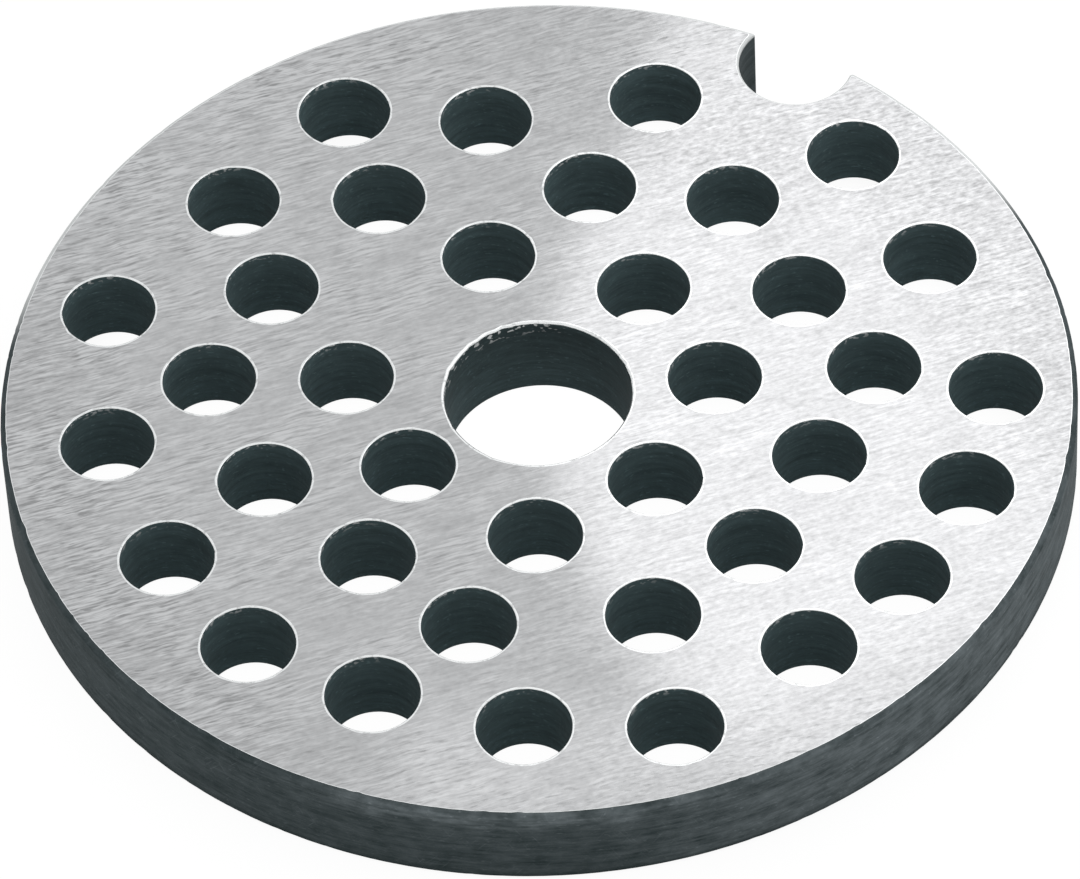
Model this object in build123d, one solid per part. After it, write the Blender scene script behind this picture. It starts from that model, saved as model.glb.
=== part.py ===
from build123d import *

import os
from math import cos, radians, sin

# Meat grinder plate: a thick steel disc drilled with feed holes.
#
# The plate is one solid. Its knife face (top, +Z) is where the turning knife wipes and shears the meat,
# and its outlet face (bottom) rests against the ring nut. The knife's stud runs in the centre bore, and a
# half-round notch in the rim drops over a peg in the grinder's housing, so that the plate can't turn.
#
# Frame: millimetres, +Z up, origin on the bore's axis in the outlet face, notch towards +Y.

# Blank
plate_diameter = 54.0
plate_thickness = 4.9
rim_edge_chamfer = 0.25

# Centre bore
bore_diameter = 9.4
bore_edge_chamfer = 0.08

# Locating notch: a round cut, with its centre a little way inside the rim
notch_radius = 2.95
notch_inset = 1.0
notch_edge_chamfer = 0.1

# Feed holes: left sharp where they shear against the knife, countersunk where the meat comes out
feed_hole_diameter = 4.7
feed_countersink = 0.6

# How far every hole cutter stands out past both faces
cutter_overshoot = 1.0

# Pitch circles of the three rows of feed holes: the inner row keeps its distance from the bore's wall
# and the outer row from the rim, and the middle row lies halfway between them
inner_row_from_bore = 4.2
outer_row_from_rim = 5.5
inner_row_radius = bore_diameter / 2 + inner_row_from_bore
outer_row_radius = plate_diameter / 2 - outer_row_from_rim
middle_row_radius = (inner_row_radius + outer_row_radius) / 2

# The holes were set out by eye, so they are not evenly spaced. Each one is written as its bearing, in
# degrees clockwise from the notch as seen from the knife face, and how many steps it stands outside
# (or, with a minus, inside) its row's pitch circle.
set_out_step = 0.1
inner_row = [(7, -2), (54, 0), (104, -7), (150, 4), (204, -10), (247, 8), (314, 7)]
middle_row = [
    (7, 10), (33, -5), (55, 17), (77, -5), (103, -4), (128, 4), (162, 1),
    (188, -18), (218, -6), (244, 14), (268, 2), (298, 5), (340, -11),
]
outer_row = [
    (15, 10), (36, 1), (60, 14), (77, 8), (94, 3), (111, -1), (132, 11), (151, -1), (172, -7),
    (191, -2), (210, -5), (232, 2), (255, 11), (280, -9), (302, 4), (321, -26), (346, -6),
]
feed_rows = [
    (inner_row_radius, inner_row),
    (middle_row_radius, middle_row),
    (outer_row_radius, outer_row),
]


def feed_hole_centres():
    """Centres of all the feed holes in the plane of the plate."""
    centres = []
    for pitch_radius, row in feed_rows:
        for bearing, steps_out in row:
            reach = pitch_radius + steps_out * set_out_step
            turn = radians(bearing)
            centres.append((reach * sin(turn), reach * cos(turn)))
    return centres


def through_cutter(radius, bottom_chamfer, top_chamfer=None):
    """A turned cutter for one hole: a straight wall that flares at 45 degrees where a face has a chamfer."""
    bottom = -cutter_overshoot
    top = plate_thickness + cutter_overshoot
    profile = [(0, bottom), (radius + bottom_chamfer + cutter_overshoot, bottom), (radius, bottom_chamfer)]
    if top_chamfer is None:
        profile += [(radius, top)]
    else:
        profile += [(radius, plate_thickness - top_chamfer), (radius + top_chamfer + cutter_overshoot, top)]
    profile += [(0, top)]
    return revolve(Plane.XZ * make_face(Polyline(*profile, close=True)), Axis.Z)


def blank():
    """The turned disc, with the edge taken off both ends of its rim."""
    disc = Cylinder(plate_diameter / 2, plate_thickness, align=(Align.CENTER, Align.CENTER, Align.MIN))
    rim_edges = disc.edges().filter_by(GeomType.CIRCLE)
    return chamfer(rim_edges, rim_edge_chamfer)


def grinder_plate():
    """The finished plate: the blank less its bore, its notch and its feed holes."""
    bore = through_cutter(bore_diameter / 2, bore_edge_chamfer, bore_edge_chamfer)
    notch_cutter = through_cutter(notch_radius, notch_edge_chamfer, notch_edge_chamfer)
    notch = Pos(0, plate_diameter / 2 - notch_inset, 0) * notch_cutter
    feed_cutter = through_cutter(feed_hole_diameter / 2, feed_countersink)
    feed_holes = [Pos(x, y, 0) * feed_cutter for x, y in feed_hole_centres()]
    return blank() - [bore, notch, *feed_holes]


def main():
    os.makedirs("parts", exist_ok=True)
    plate = grinder_plate()
    export_step(plate, "parts/grinder_plate.step")
    print("grinder_plate:", len(plate.solids()), "solid,", round(plate.volume, 1), "mm3")


main()
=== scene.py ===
"""Looks of the meat grinder plate: a detailed mesh, its steel finishes, the studio and the camera.

Lengths in this file are millimetres. They become metres only in a mesh, a node, a lamp or the camera.
"""
from math import atan2, cos, pi, radians, sin, sqrt, tan

import bpy
import numpy as np
from mathutils import Matrix, Vector
from mathutils.geometry import delaunay_2d_cdt


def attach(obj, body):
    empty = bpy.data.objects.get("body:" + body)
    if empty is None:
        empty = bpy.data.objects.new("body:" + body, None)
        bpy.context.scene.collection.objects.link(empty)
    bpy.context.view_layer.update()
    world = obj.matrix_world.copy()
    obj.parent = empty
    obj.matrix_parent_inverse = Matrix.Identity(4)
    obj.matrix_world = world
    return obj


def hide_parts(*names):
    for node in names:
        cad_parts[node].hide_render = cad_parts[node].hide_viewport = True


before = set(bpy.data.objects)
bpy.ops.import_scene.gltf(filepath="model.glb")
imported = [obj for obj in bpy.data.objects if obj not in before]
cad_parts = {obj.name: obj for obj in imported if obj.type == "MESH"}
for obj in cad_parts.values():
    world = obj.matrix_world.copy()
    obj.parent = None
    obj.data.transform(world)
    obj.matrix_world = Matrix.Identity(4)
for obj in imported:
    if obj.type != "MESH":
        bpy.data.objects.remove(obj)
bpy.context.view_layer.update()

MM = 0.001
rng = np.random.default_rng(54)

# ---------------------------------------------------------------- the plate's sizes, as in part.py
plate_radius = 26.999  # a hair under the source's 27, so that the mesh stays inside the CAD's box
plate_thickness = 4.9
rim_chamfer = 0.25
bore_radius = 4.7
bore_chamfer = 0.08
notch_radius = 2.95
notch_centre = Vector((0.0, 26.0))
notch_chamfer = 0.1
feed_radius = 2.35
feed_countersink = 0.6
set_out_step = 0.1
feed_rows = [
    (8.9, [(7, -2), (54, 0), (104, -7), (150, 4), (204, -10), (247, 8), (314, 7)]),
    (15.2, [
        (7, 10), (33, -5), (55, 17), (77, -5), (103, -4), (128, 4), (162, 1),
        (188, -18), (218, -6), (244, 14), (268, 2), (298, 5), (340, -11),
    ]),
    (21.5, [
        (15, 10), (36, 1), (60, 14), (77, 8), (94, 3), (111, -1), (132, 11), (151, -1), (172, -7),
        (191, -2), (210, -5), (232, 2), (255, 11), (280, -9), (302, 4), (321, -26), (346, -6),
    ]),
]
feed_centres = [
    Vector((sin(radians(bearing)), cos(radians(bearing)))) * (pitch + steps * set_out_step)
    for pitch, row in feed_rows
    for bearing, steps in row
]

# ---------------------------------------------------------------- where the main view looks from
camera_turn = radians(33.12)
camera_height = radians(49.27)
right = Vector((cos(camera_turn), sin(camera_turn), 0))
away = Vector((-sin(camera_turn), cos(camera_turn), 0))
upright = Vector((0, 0, 1))
near = right * 0.3 - away * 0.95  # towards the stretch of rim that faces the camera

# ---------------------------------------------------------------- worn edges, too fine for part.py
feed_edge_wear = 0.03
corner_rounding = 0.12  # seen from above, where the rim meets the notch
rim_band, feed_band, bore_band = 0.045, 0.075, 0.06  # width of the narrow band on the face beside the edge; beside a hole it is bright, partly burnished steel and partly a painted highlight
hole_wear_depth, rim_wear_depth = 0.6, 0.55  # how far down from its edge a wall is uneven
rim_wear_start = 0.01  # radians of rim beside the notch, over which its wear sets in
burr_bearing = camera_turn + radians(130)  # where the edge of every hole is most chipped; its bright chips there are also a painted highlight at each hole's upper left in the main view
bore_dents = [  # degrees from the chips' bearing, degrees wide, and depth
    (-28, 2.5, 0.05), (-20, 3, 0.09), (-9, 4, 0.07), (4, 2.5, 0.05), (27, 3, 0.06),
]

# ---------------------------------------------------------------- the mesh
GROUND, BRIGHT_EDGE, HOLE_WALL, RIM = range(4)
rim_points, feed_points, bore_points = 1080, 72, 168
notch_steps, corner_steps = 32, 6  # along half of the notch, and along the round between it and the rim
face_grid = 0.9  # distance between the points inside a flat face
face_gap = 0.2  # how far they keep from its edges, besides a share of the grid


class Mesh:
    """Vertices in millimetres and faces with their finish, gathered ring by ring."""

    def __init__(self):
        self.points, self.burr, self.faces, self.finish, self.smooth = [], [], [], [], []

    def ring(self, points_2d, z, burr=None):
        first = len(self.points)
        self.points += [(x, y, z) for x, y in points_2d]
        self.burr += [0.0] * len(points_2d) if burr is None else list(burr)
        return list(range(first, first + len(points_2d)))

    def band(self, upper, lower, finish, outward, smooth):
        """Quads between two rings that run anticlockwise from above."""
        for i in range(len(upper)):
            j = (i + 1) % len(upper)
            quad = (upper[i], lower[i], lower[j], upper[j])
            self.faces.append(quad if outward else quad[::-1])
            self.finish.append(finish)
            self.smooth.append(smooth)

    def flat(self, rim, holes, feed_reach, z, up):
        """The flat face between the rim's ring and the holes' rings, in even triangles.

        feed_reach is how far its inner points keep from a feed hole's axis, besides a share of the grid.
        """
        index, areas = [], []
        for loop in [rim] + holes:
            areas.append(list(range(len(index), len(index) + len(loop))))
            index += loop
        rows = int(plate_radius / (face_grid * sqrt(3) / 2)) + 1
        cols = int(plate_radius / face_grid) + 1
        inner = []
        for r in range(-rows, rows + 1):
            for c in range(-cols, cols + 1):
                p = Vector(((c + (r % 2) / 2) * face_grid, r * face_grid * sqrt(3) / 2))
                if clear_of_edges(p, feed_reach, 0.45 * face_grid):
                    inner.append(p)
        plane = [Vector(self.points[i][:2]) for i in index] + inner
        first = len(self.points)
        self.points += [(p.x, p.y, z) for p in inner]
        self.burr += [0.0] * len(inner)
        index += list(range(first, first + len(inner)))
        where, _, triangles, origin, _, sources = delaunay_2d_cdt(plane, [], areas, 0, 1e-7)
        for tri, areas_of in zip(triangles, sources):
            if list(areas_of) != [0]:
                continue
            a, b, c = (where[k] for k in tri)
            corners = [index[origin[k][0]] for k in tri]
            self.faces.append(tuple(corners if ((b - a).cross(c - a) > 0) == up else corners[::-1]))
            self.finish.append(GROUND)
            self.smooth.append(False)

    def build(self, name, materials):
        mesh = bpy.data.meshes.new(name)
        mesh.from_pydata([[c * MM for c in p] for p in self.points], [], self.faces)
        for material in materials:
            mesh.materials.append(material)
        mesh.polygons.foreach_set("material_index", self.finish)
        mesh.polygons.foreach_set("use_smooth", self.smooth)
        mesh.attributes.new("burr", "FLOAT", "POINT").data.foreach_set("value", self.burr)
        mesh.update()
        mesh.validate()
        piece = bpy.data.objects.new(name, mesh)
        bpy.context.scene.collection.objects.link(piece)
        return piece


def clear_of_edges(p, feed_reach, margin):
    """Whether a point of a flat face keeps that distance from the rim, the notch and every hole."""
    if p.length > plate_radius - rim_chamfer - face_gap - margin:
        return False
    if (p - notch_centre).length < notch_radius + notch_chamfer + face_gap + margin:
        return False
    if p.length < bore_radius + bore_chamfer + face_gap + margin:
        return False
    return all((p - c).length > feed_reach + margin for c in feed_centres)


def worn_chamfer(size, rounding, steps=3):
    """Depth below the face and distance from the wall along a 45 degree chamfer with rounded corners."""
    tangent = rounding * 0.4142  # from the corner to where its rounding starts
    out = []
    for turn in np.radians(np.linspace(0, 45, steps + 1)):
        out.append((rounding * (1 - cos(turn)), size + tangent - rounding * sin(turn)))
    for turn in np.radians(np.linspace(45, 90, steps + 1)):
        out.append((size + tangent - rounding * cos(turn), rounding * (1 - sin(turn))))
    return out


def circle(centre, radius, count, wobble=None):
    """Points of a circle, anticlockwise; wobble is a radial change at each point."""
    turns = np.arange(count) * 2 * pi / count
    reach = radius + (0 if wobble is None else wobble)
    return np.column_stack((centre[0] + reach * np.cos(turns), centre[1] + reach * np.sin(turns)))


def ripple(count, waves, amount):
    """Closed noise round a ring, made of those numbers of waves, within about +-amount."""
    turns = np.arange(count) * 2 * pi / count
    total = np.zeros(count)
    for k in waves:
        total += np.cos(k * turns + rng.uniform(0, 2 * pi)) * rng.uniform(0.4, 1)
    return total * amount / sqrt(len(waves))


def nicks(count, length, how_many, widths, depths):
    """Small dents at chance places round a ring of that length: how deep each point is pushed in."""
    place = np.arange(count) * length / count
    total = np.zeros(count)
    for _ in range(how_many):
        at, width, depth = rng.uniform(0, length), rng.uniform(*widths), rng.uniform(*depths)
        gap = (place - at + length / 2) % length - length / 2
        total = np.maximum(total, depth * np.exp(-((gap / width) ** 2) * 2))
    return total


def drill(mesh, centre, radius, count, band, top, bottom, wall_rows, dents, chip_glint_reach, chip_glint_amount):
    """A hole's rings from the knife face to the outlet face. Returns its first and last ring.

    top and bottom are the worn chamfers of its two edges. A point's chip amount says how much the wall is
    chipped there, in bright steel that is also a painted highlight: most at the top on the chips' side, none
    below their reach.
    """
    uneven = ripple(count, range(3, 14), 0.004) + dents
    turns = np.arange(count) * 2 * pi / count
    burr = chip_glint_amount * np.clip(2.0 * np.cos(turns - burr_bearing) - 0.9, 0, 1)
    rings, finishes = [], []

    def add(out, z, finish, wobble=None, glinting_chips=None):
        rings.append(mesh.ring(circle(centre, radius + out, count, wobble), z, glinting_chips))
        finishes.append(finish)

    def uneven_at(depth):
        return uneven * (1 - depth / hole_wear_depth)

    band_edge = uneven + ripple(count, range(2, 20), 0.018)
    add(top[0][1] + band, plate_thickness, BRIGHT_EDGE, band_edge)
    for depth, out in top[:-1]:
        add(out, plate_thickness - depth, BRIGHT_EDGE, uneven_at(depth))
    wall_top, wall_foot = plate_thickness - top[-1][0], bottom[-1][0]
    chip_glint_end = wall_top - chip_glint_reach
    add(0, wall_top, HOLE_WALL, uneven_at(top[-1][0]), burr)
    for share in (0.25, 0.55, 1.0):
        add(0, wall_top - chip_glint_reach * share, HOLE_WALL, None, burr * (1 - share))
    for row in range(wall_rows):
        add(0, wall_foot + (chip_glint_end - wall_foot) * (wall_rows - row) / (wall_rows + 1), HOLE_WALL)
    for depth, out in bottom[::-1]:
        add(out, depth, HOLE_WALL)
    for k in range(len(rings) - 1):
        mesh.band(rings[k], rings[k + 1], finishes[k], outward=False, smooth=k > 0)
    return rings[0], rings[-1]


def pointing(angle):
    return Vector((cos(angle), sin(angle)))


def angle_of(v):
    return atan2(v.y, v.x)


def outline(rim_r, notch_r, rim_inset):
    """The plate's outline: the rim's circle, the notch's circle, and a small round where they meet.

    rim_inset is how far each point of the rim is pushed in.
    """
    reach, gap = rim_r - corner_rounding, notch_r + corner_rounding
    along = (reach ** 2 + notch_centre.y ** 2 - gap ** 2) / (2 * notch_centre.y)
    corner = Vector((sqrt(reach ** 2 - along ** 2), along))
    on_rim = corner * (rim_r / reach)
    on_notch = notch_centre + (corner - notch_centre) * (notch_r / gap)
    end = angle_of(on_notch - notch_centre)
    # half of the notch from its foot, and its corner
    half = [
        notch_centre + pointing(-pi / 2 + (end + pi / 2) * t / notch_steps) * notch_r
        for t in range(notch_steps + 1)
    ]
    first = angle_of(on_notch - corner)
    sweep = (angle_of(on_rim - corner) - first + pi) % (2 * pi) - pi
    half += [
        corner + pointing(first + sweep * t / corner_steps) * corner_rounding
        for t in range(1, corner_steps)
    ]
    # bearings from the notch, clockwise from above, so this whole list runs clockwise
    rim_start = atan2(on_rim.x, on_rim.y)
    bearings = np.linspace(rim_start, 2 * pi - rim_start, rim_points)
    fade_in = np.clip((bearings - rim_start) / rim_wear_start, 0, 1)
    fade_out = np.clip((2 * pi - rim_start - bearings) / rim_wear_start, 0, 1)
    inset = rim_inset * fade_in * fade_out
    rim = [Vector(((rim_r - d) * sin(b), (rim_r - d) * cos(b))) for b, d in zip(bearings, inset)]
    mirrored = [Vector((-p.x, p.y)) for p in half[:0:-1]]
    clockwise = half + rim + mirrored
    return [tuple(p) for p in clockwise[::-1]]


def rim_wear(how_many, widths, depths):
    """How far the rim's edge is worn in at each of its points."""
    uneven = np.abs(ripple(rim_points, range(5, 160, 3), 0.012))
    return uneven + nicks(rim_points, 2 * pi * plate_radius, how_many, widths, depths)


def plate_mesh():
    mesh = Mesh()
    # holes
    tops, bottoms = [], []
    for centre in feed_centres:
        a, b = drill(
            mesh, centre, feed_radius, feed_points, feed_band,
            top=worn_chamfer(feed_edge_wear, rounding=0.02, steps=2),
            bottom=worn_chamfer(feed_countersink, rounding=0.1, steps=2),
            wall_rows=2,
            dents=nicks(feed_points, 2 * pi * feed_radius, 2, widths=(0.12, 0.3), depths=(0.01, 0.035)),
            chip_glint_reach=0.45, chip_glint_amount=1.0,
        )
        tops.append(a)
        bottoms.append(b)
    dents = nicks(bore_points, 2 * pi * bore_radius, 7, widths=(0.12, 0.4), depths=(0.015, 0.05))
    for turn, width, depth in bore_dents:
        off = np.arange(bore_points) * 360 / bore_points - np.degrees(burr_bearing) - turn
        off = (off + 180) % 360 - 180
        dents = np.maximum(dents, depth * np.exp(-((off / width) ** 2)))
    bore_edge = worn_chamfer(bore_chamfer, rounding=0.05)
    a, b = drill(
        mesh, (0, 0), bore_radius, bore_points, bore_band,
        top=bore_edge, bottom=bore_edge, wall_rows=4, dents=dents, chip_glint_reach=0.8, chip_glint_amount=2.0,
    )
    tops.append(a)
    bottoms.append(b)
    # rim and notch: the same depths for both, so that their profiles make one ring at each depth
    rim_profile = worn_chamfer(rim_chamfer, rounding=0.12)
    notch_profile = worn_chamfer(notch_chamfer, rounding=0.08)
    depths = sorted({round(d, 5) for d, _ in rim_profile + notch_profile})
    rim_in = np.interp(depths, *zip(*rim_profile))
    notch_out = np.interp(depths, *zip(*notch_profile))
    profile = list(zip(depths, rim_in, notch_out))
    top_wear = rim_wear(46, widths=(0.1, 0.4), depths=(0.015, 0.055))
    low_wear = rim_wear(40, widths=(0.1, 0.5), depths=(0.01, 0.04))
    rings = []

    def add(rim_r, notch_r, z, wear, depth=0.0):
        fade = max(0.0, 1 - depth / rim_wear_depth)
        rings.append(mesh.ring(outline(rim_r, notch_r, wear * fade), z))

    add(
        plate_radius - rim_in[0] - rim_band, notch_radius + notch_out[0] + rim_band,
        plate_thickness, top_wear,
    )
    for d, cut, flare in profile:
        add(plate_radius - cut, notch_radius + flare, plate_thickness - d, top_wear, d)
    low, high = depths[-1], plate_thickness - depths[-1]
    for t in np.linspace(0, 1, 6)[1:-1]:
        add(plate_radius, notch_radius, high + (low - high) * t, np.zeros(rim_points))
    for d, cut, flare in profile[::-1]:
        add(plate_radius - cut, notch_radius + flare, d, low_wear, d)
    for k in range(len(rings) - 1):
        # the band on the face is ground, the turn into the chamfer is bright, burnished steel and a painted
        # highlight alike, and all below it is dark
        finish = GROUND if k == 0 else BRIGHT_EDGE if k < 3 else RIM
        mesh.band(rings[k], rings[k + 1], finish, outward=True, smooth=k > 0)
    # the two flat faces
    mesh.flat(rings[0], tops, feed_radius + 0.25, plate_thickness, up=True)
    mesh.flat(rings[-1], bottoms, feed_radius + feed_countersink + 0.05, 0.0, up=False)
    return mesh


# ---------------------------------------------------------------- materials
class Nodes:
    """Writes a material's node tree from calls; a link or a number may be given to any input."""

    def __init__(self, name):
        self.material = bpy.data.materials.new(name)
        self.material.use_nodes = True
        self.tree = self.material.node_tree
        self.shader = self.tree.nodes["Principled BSDF"]
        self.output = self.tree.nodes["Material Output"]

    def add(self, kind, inputs=(), **settings):
        node = self.tree.nodes.new("ShaderNode" + kind)
        for key, value in settings.items():
            setattr(node, key, value)
        for key, value in dict(inputs).items():
            self.set(node.inputs[key], value)
        return node

    def set(self, socket, value):
        if isinstance(value, bpy.types.NodeSocket):
            self.tree.links.new(value, socket)
        else:
            socket.default_value = value

    def surface(self, inputs):
        """Fills in the Principled shader and returns the material."""
        for key, value in inputs.items():
            self.set(self.shader.inputs[key], value)
        return self.material

    # numbers
    def math(self, operation, a, b=0.0, c=0.0):
        return self.add("Math", {0: a, 1: b, 2: c}, operation=operation).outputs[0]

    def times(self, first, *others):
        for other in others:
            first = self.math("MULTIPLY", first, other)
        return first

    def plus(self, total, value, share):
        """total + value * share"""
        return self.math("MULTIPLY_ADD", value, share, total)

    def swing(self, total, noise, amount):
        """total + (noise - 0.5) * amount, as a noise lies round 0.5"""
        return self.plus(total, self.math("SUBTRACT", noise, 0.5), amount)

    def clamp(self, value, low, high):
        return self.math("MAXIMUM", self.math("MINIMUM", value, high), low)

    def step(self, value, low, high, out_low=0.0, out_high=1.0):
        """A smooth step from out_low, where value is low, to out_high, where it is high."""
        node = self.add(
            "MapRange",
            {"Value": value, "From Min": low, "From Max": high, "To Min": out_low, "To Max": out_high},
            interpolation_type="SMOOTHSTEP",
        )
        return node.outputs[0]

    # vectors
    def vector(self, operation, a, b=(0, 0, 0), c=(0, 0, 0)):
        return self.add("VectorMath", {0: a, 1: b, 2: c}, operation=operation).outputs[0]

    def measure(self, operation, a, b=(0, 0, 0)):
        """A vector operation that gives a number: LENGTH, DISTANCE or DOT_PRODUCT."""
        return self.add("VectorMath", {0: a, 1: b}, operation=operation).outputs["Value"]

    # places
    def place(self):
        return self.add("TexCoord").outputs["Object"]

    def along(self, place, direction, low, high, out_low=0.0, out_high=1.0):
        """A smooth step between two distances in millimetres along a direction."""
        distance = self.measure("DOT_PRODUCT", place, direction)
        return self.step(distance, low * MM, high * MM, out_low, out_high)

    def unrolled(self, place):
        """Coordinates along the rim from the notch and up the rim, in metres."""
        x, y, z = self.add("SeparateXYZ", {0: place}).outputs
        turn = self.math("ARCTAN2", self.times(x, -1.0), self.times(y, -1.0))
        return self.add("CombineXYZ", {0: self.times(turn, plate_radius * MM), 2: z}).outputs[0]

    # textures
    def grain(self, place, turn, size, tilt=0.0):
        """Coordinates for marks of that size in millimetres, turned about Z and tilted about Y."""
        node = self.add(
            "Mapping",
            {"Vector": place, "Rotation": (0, tilt, turn), "Scale": [s * MM for s in size]},
            vector_type="TEXTURE",
        )
        return node.outputs[0]

    def noise(self, place, detail, rough, output="Fac"):
        node = self.add("TexNoise", {"Vector": place, "Scale": 1.0, "Detail": detail, "Roughness": rough})
        return node.outputs[output]

    # colour and relief
    def scaled(self, colour, factor):
        """A colour times a number."""
        return self.add("VectorMath", {0: colour, "Scale": factor}, operation="SCALE").outputs[0]

    def blend(self, colour, other, factor):
        node = self.add("Mix", data_type="RGBA")
        for key, value in (("Factor_Float", factor), ("A_Color", colour), ("B_Color", other)):
            self.set(next(i for i in node.inputs if i.identifier == key), value)
        return next(o for o in node.outputs if o.identifier == "Result_Color")

    def bump(self, height, distance):
        return self.add("Bump", {"Height": height, "Distance": distance * MM, "Strength": 1.0}).outputs[0]


grind_direction = radians(48.8)  # of the scratches on the faces, from +X towards +Y
ground_colour = (0.532, 0.540, 0.548)
# bright steel at the dressed edges, partly a painted highlight
burnish_and_highlight_colour = (0.90, 0.92, 0.925)
chip_and_highlight_colour = (0.60, 0.62, 0.62, 1)  # of fresh steel at a chip, where it is also a painted highlight, and of the painted highlight along the rim's far edge
hole_colour = (0.060, 0.090, 0.095)
rim_colour, rim_wear_and_light_colour = (0.041, 0.054, 0.057), (0.040, 0.0445, 0.047)


def ground_steel():
    """Steel ground with a coarse belt: short wavy strokes, thicker and deeper towards the rim."""
    n = Nodes("ground_steel")
    place = n.place()
    drift = n.noise(n.grain(place, 0, (2.2, 2.2, 2.2)), 2, 0.5, "Color")
    drift = n.vector("SUBTRACT", drift, (0.5, 0.5, 0.5))
    wavy = n.vector("MULTIPLY_ADD", drift, (0.36 * MM,) * 3, place)

    def marks(on, turn, length, width, detail, rough):
        """Noise drawn out along the belt's direction, or turned a little from it."""
        return n.noise(n.grain(on, grind_direction + turn, (length, width, 1)), detail, rough)

    strokes = marks(wavy, 0, 1.5, 0.15, 2.5, 0.62)
    long_strokes = marks(wavy, 0.08, 3.2, 0.30, 2, 0.55)
    dashes = marks(wavy, -0.10, 0.9, 0.20, 1.5, 0.5)
    gleams = marks(wavy, 0.05, 1.6, 0.13, 1, 0.5)
    blotches = marks(place, 0, 4.5, 2.4, 3, 0.55)
    clouds = marks(place, 0, 1.5, 0.9, 3, 0.6)
    crumbs = marks(place, 0, 0.40, 0.22, 2, 0.6)

    # zones of the face, from 0 to 1
    edge = n.step(n.plus(n.measure("LENGTH", place), blotches, 6 * MM), 22 * MM, 29 * MM)
    beside_notch = n.measure("DISTANCE", place, (right * 11.5 + away * 16.3) * MM)
    far_right = n.math(
        "MAXIMUM", n.along(place, right * 0.9 + away * 0.44, 16, 25), n.step(beside_notch, 10 * MM, 4 * MM)
    )
    left_edge = n.times(edge, n.along(place, right * -0.97 - away * 0.24, 12, 22))
    near_edge = n.times(edge, n.along(place, near, 20, 24), n.along(place, right, 6, 12))

    # how strong the strokes and the crumbs are
    depth = n.plus(n.step(blotches, 0.36, 0.64, 0.3, 0.95), edge, 0.35)
    depth = n.times(depth, n.along(place, right, -12, 14, 1.5, 0.65), n.along(place, near, 8, 20, 1.0, 0.55))
    crumb_depth = n.plus(n.along(place, right, -6, 8, 0.36, 0.62), far_right, 0.35)
    pits = n.times(n.step(dashes, 0.58, 0.74), n.plus(0.25, edge, 0.75))
    shine = n.times(n.step(gleams, 0.58, 0.72), depth)

    tone = 1.0
    for noise, amount in (
        (strokes, n.times(depth, 1.15)), (long_strokes, 0.30), (crumbs, crumb_depth),
        (clouds, 0.22), (blotches, 0.20),
    ):
        tone = n.swing(tone, noise, amount)
    for zone, change in (
        (far_right, -0.095), (left_edge, -0.08), (near_edge, -0.10),
        (n.times(pits, depth), -0.20), (shine, 0.18),
    ):
        tone = n.plus(tone, zone, change)
    return n.surface({
        "Base Color": n.scaled(ground_colour, n.clamp(tone, 0.6, 1.2)),
        "Metallic": 1.0,
        "Roughness": n.plus(n.plus(0.11, strokes, 0.08), pits, 0.15),
        "Normal": n.bump(n.plus(n.plus(strokes, long_strokes, 1.5), pits, -1.5), 0.0015),
    })


def bright_edge():
    """Metal burnished bright where an edge has been dressed, and dull in places; its brightness is partly a
    painted highlight along the edges.
    """
    n = Nodes("bright_edge")
    marks = n.noise(n.grain(n.place(), 0, (0.35, 0.35, 0.12)), 3, 0.6)
    return n.surface({
        "Base Color": n.scaled(burnish_and_highlight_colour, n.plus(1.0, n.step(marks, 0.50, 0.72), -0.38)),
        "Metallic": 1.0,
        "Roughness": n.plus(0.15, marks, 0.2),
        "Normal": n.bump(marks, 0.004),
    })


def dark_steel(name, on_rim, colour, wear_and_light_colour, turn_marks, streaks, mottle, rough, specular):
    """Steel left dark by hardening, with the tool's marks running round it.

    Its second colour is added in step with the tone, for its marks and wear and for painted light and shade
    alike, and turn_marks is the marks' height.
    """
    n = Nodes(name)
    place = n.place()
    # the rim's marks run along the unrolled rim, the holes' marks round their own walls
    on = n.unrolled(place) if on_rim else place
    marks = n.noise(n.grain(on, 0, (1.0, 1.0, turn_marks)), 4, 0.7)
    long_marks = n.noise(n.grain(on, 0, (4, 4, turn_marks * 2.5)), 2, 0.5)
    patches = n.noise(n.grain(on, 0, (1.5, 1.5, 0.9)), 5, 0.68)
    specks = n.noise(n.grain(on, 0, (0.32, 0.32, 0.13)), 1, 0.5)
    tone = 1.0
    for noise, amount in ((marks, streaks), (long_marks, streaks), (patches, mottle)):
        tone = n.swing(tone, noise, amount)
    tone = n.math("MAXIMUM", n.plus(tone, n.step(specks, 0.62, 0.76), 0.6), 0.3)
    tone, light = rim_looks(n, place, on, tone) if on_rim else hole_looks(n, place, tone)
    # the dark colour moved with the tone: marks and wear, and painted light and shade; then bright steel
    # mixed in
    marked_lit_and_shaded = n.vector("MULTIPLY_ADD", n.math("SUBTRACT", tone, 1.0), wear_and_light_colour, colour)
    return n.surface({
        "Base Color": n.blend(marked_lit_and_shaded, chip_and_highlight_colour, light),
        "Metallic": 0.0,
        "Specular IOR Level": specular,
        "Roughness": n.plus(rough, patches, 0.2),
        "Normal": n.bump(n.plus(n.math("ADD", marks, patches), specks, 0.8), 0.010),
    })


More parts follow.
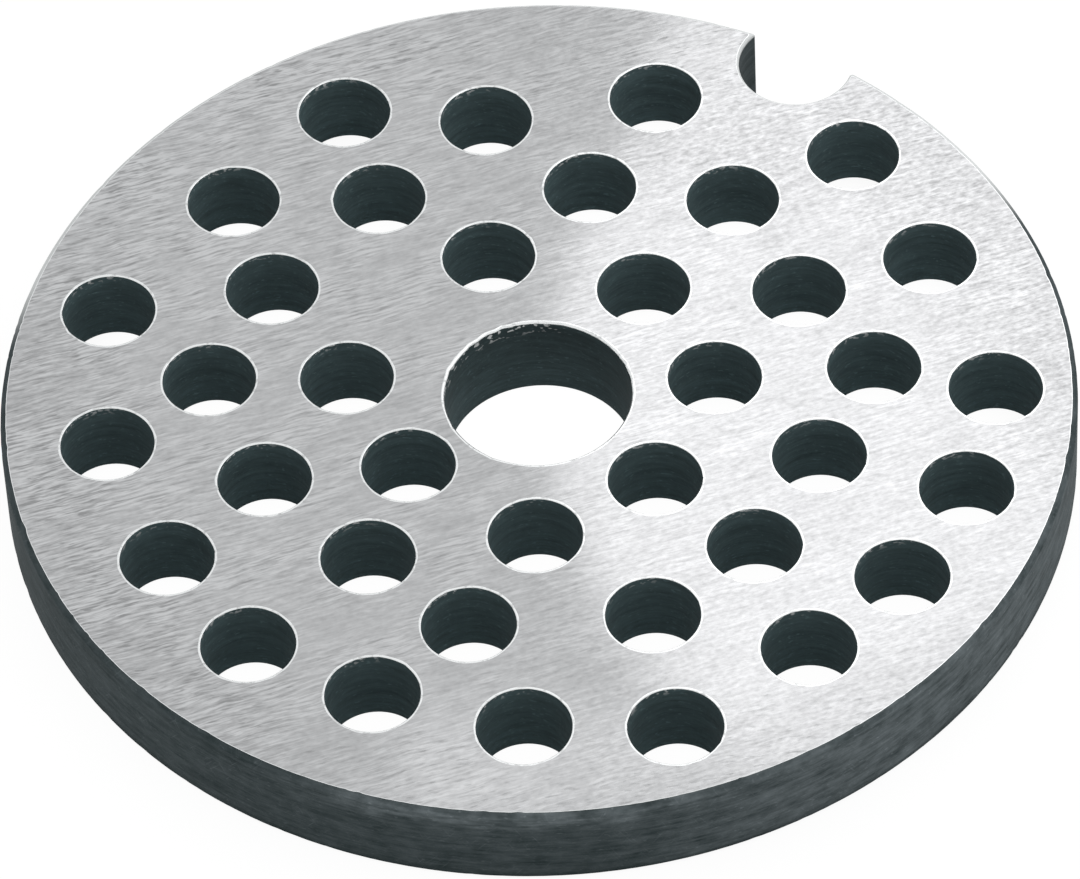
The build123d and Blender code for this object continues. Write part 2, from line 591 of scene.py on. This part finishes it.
def hole_looks(n, place, tone):
    """A hole's wall is lighter low down, has painted light on its left side in the main view and painted
    shade in the bore, and is chipped at its top edge, where its bright chips are also a painted highlight.
    Returns the tone and where the chips show."""
    from_axis = n.measure("LENGTH", n.vector("MULTIPLY", place, (1, 1, 0)))
    facing_right = n.measure("DOT_PRODUCT", n.add("TexCoord").outputs["Normal"], right)
    # lighter low down; painted light on the walls that face right, and painted shade on the bore's wall
    tone = n.times(
        tone,
        n.along(place, upright, 0.5, 4.4, 1.75, 1.0),
        n.step(from_axis, 5.0 * MM, 5.6 * MM, 0.54, 1.0),
        n.plus(1.05, facing_right, 0.27),
    )
    # bright chips at the top of each wall: chipped steel that also stands as a painted highlight
    chip_glint_noise = n.noise(n.grain(place, 0, (0.34, 0.34, 0.18)), 1.5, 0.5)
    burr = n.add("Attribute", attribute_name="burr").outputs["Fac"]
    return tone, n.times(n.step(chip_glint_noise, 0.56, 0.64), burr)


def rim_looks(n, place, on, tone):
    """The rim is lighter on the right of the main view and near the camera under the knife face, has
    painted shade at its foot, and is scratched across in places. Along the far side the knife face's edge
    has a painted highlight. Returns the tone and where that highlight shows."""
    side = n.times(
        n.along(place, right * 0.87 - away * 0.5, 14, 25),
        n.along(place, away, -16, 0, 1.2, 0.25),
    )
    patches = n.noise(n.grain(on, 0, (3.5, 3.5, 1.2)), 3, 0.6)
    near_top = n.times(
        n.along(place, near, 17, 22.5),
        n.step(patches, 0.36, 0.56, 0.2, 1.0),
        n.along(place, right, 3, 10, 1.4, 0.85),
        n.along(place, upright, 0.66 * plate_thickness, 0.92 * plate_thickness),
    )
    tone = n.times(
        tone,
        n.math("ADD", n.math("MAXIMUM", side, near_top), 1.0),
        # these two darken the rim towards its foot: painted shade
        n.along(place, upright, 0.1, 0.5 * plate_thickness, 0.9, 1.0),
        n.along(place, upright, 0.32, 0.62, 0.5, 1.0),
    )
    for tilt in (0.9, 2.1):
        scratches = n.step(n.noise(n.grain(on, 0, (1.4, 1, 0.10), tilt), 1, 0.5), 0.62, 0.74)
        tone = n.plus(tone, n.times(scratches, n.step(patches, 0.42, 0.62)), 0.6)
    # a painted highlight along the knife face's edge on the far side of the main view
    far_edge_highlight = n.times(
        n.along(place, away - right * 0.09, 7, 12),
        n.along(place, upright, plate_thickness - 0.32, plate_thickness - 0.2),
    )
    return tone, far_edge_highlight


piece = plate_mesh().build(
    "plate_body",
    [
        ground_steel(),
        bright_edge(),
        dark_steel(
            "hole_wall_steel", False, hole_colour, hole_colour,
            turn_marks=0.12, streaks=0.8, mottle=0.7, rough=0.6, specular=0.08,
        ),
        dark_steel(
            "rim_steel", True, rim_colour, rim_wear_and_light_colour,
            turn_marks=0.13, streaks=1.5, mottle=2.2, rough=0.62, specular=0.10,
        ),
    ],
)
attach(piece, "root")
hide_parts("grinder_plate")

# ---------------------------------------------------------------- camera
camera_roll = radians(3.03)
camera_distance = 432.0
sensor_width, focal_length = 36.0, 288.8
back = away * -cos(camera_height) + upright * sin(camera_height)
up = back.cross(right)
aim = right * -0.03 + away * -3.08 + upright * plate_thickness
side = right * cos(camera_roll) - up * sin(camera_roll)
top = right * sin(camera_roll) + up * cos(camera_roll)
camera_data = bpy.data.cameras.new("camera")
camera_data.sensor_width = sensor_width
camera_data.lens = focal_length
camera_data.clip_start, camera_data.clip_end = 0.01, 20.0
camera = bpy.data.objects.new("camera", camera_data)
eye = (aim + back * camera_distance) * MM
camera.matrix_world = Matrix.Translation(eye) @ Matrix((side, top, back)).transposed().to_4x4()
bpy.context.scene.collection.objects.link(camera)
bpy.context.scene.camera = camera

# ---------------------------------------------------------------- floor
floor_reach = 3000.0
floor_height = -0.02
n = Nodes("floor_white")
# the camera, and metal that mirrors it, see it white with a faint shadow; it lights the plate as grey
grey = n.add("BsdfDiffuse", {"Color": (0.80, 0.80, 0.80, 1)})
faint = n.add("BsdfDiffuse", {"Color": (0.10, 0.10, 0.10, 1)})
# the floor glows brighter under the plate: painted light that keeps it white where it is seen through the
# holes, in their shade
glow_lit_under_plate = n.step(n.measure("LENGTH", n.place()), 22 * MM, 26 * MM, 0.975, 0.93)
glow = n.add("Emission", {"Color": (1, 1, 1, 1), "Strength": glow_lit_under_plate})
white = n.add("AddShader", {0: faint.outputs[0], 1: glow.outputs[0]})
path = n.add("LightPath").outputs
seen = n.math("MAXIMUM", path["Is Camera Ray"], path["Is Glossy Ray"])
seen = n.math("MAXIMUM", seen, path["Is Transmission Ray"])
above = n.add("MixShader", {0: seen, 1: grey.outputs[0], 2: white.outputs[0]})
# nothing of it shows from below, so that the outlet face can be looked at
clear = n.add("BsdfTransparent")
from_below = n.add("NewGeometry").outputs["Backfacing"]
one_sided = n.add("MixShader", {0: from_below, 1: above.outputs[0], 2: clear.outputs[0]})
n.tree.links.new(one_sided.outputs[0], n.output.inputs["Surface"])
n.tree.nodes.remove(n.shader)
floor_mesh = bpy.data.meshes.new("floor")
floor_corners = [
    (x * floor_reach * MM, y * floor_reach * MM, floor_height * MM)
    for x, y in ((-1, -1), (1, -1), (1, 1), (-1, 1))
]
floor_mesh.from_pydata(floor_corners, [], [(0, 1, 2, 3)])
floor_mesh.materials.append(n.material)
floor = bpy.data.objects.new("floor", floor_mesh)
bpy.context.scene.collection.objects.link(floor)

# ---------------------------------------------------------------- light
surround = 0.88  # radiance of the world on the plate; the camera sees it as white, 1
lamp_height = 35.0
lamp_colour = (1.0, 0.98, 0.985)
mirror_offset = lamp_height / tan(camera_height)

world = bpy.data.worlds.new("studio")
world.use_nodes = True
tree = world.node_tree
background = tree.nodes["Background"]
world_path = tree.nodes.new("ShaderNodeLightPath")
strength = tree.nodes.new("ShaderNodeMapRange")
strength.inputs["To Min"].default_value = surround
strength.inputs["To Max"].default_value = 1.0
tree.links.new(world_path.outputs["Is Camera Ray"], strength.inputs["Value"])
tree.links.new(strength.outputs[0], background.inputs["Strength"])
background.inputs["Color"].default_value = (1, 1, 1, 1)
bpy.context.scene.world = world


def softbox(name, shape, width, length, radiance, across, along):
    """A soft lamp above the plate, whose mirror image in the knife face is at that place in the main view."""
    lamp = bpy.data.lights.new(name, "AREA")
    lamp.shape = shape
    lamp.size, lamp.size_y = width * MM, length * MM
    lamp.color = lamp_colour
    area = width * length * (pi / 4 if shape == "DISK" else 1)
    lamp.energy = radiance * pi * area * MM ** 2
    holder = bpy.data.objects.new(name, lamp)
    place = right * across + away * (along + mirror_offset) + upright * (plate_thickness + lamp_height)
    holder.location = place * MM
    holder.rotation_euler = (0, 0, camera_turn)
    holder.visible_camera = False
    bpy.context.scene.collection.objects.link(holder)


softbox("softbox", "DISK", 76, 76, 0.75, 38.6, -1.2)
softbox("front_softbox", "RECTANGLE", 22, 8, 0.27, 3.0, -26.5)
softbox("rear_softbox", "RECTANGLE", 8, 8, 0.70, 12.0, 26.0)

view = bpy.context.scene.view_settings
view.view_transform = "Standard"
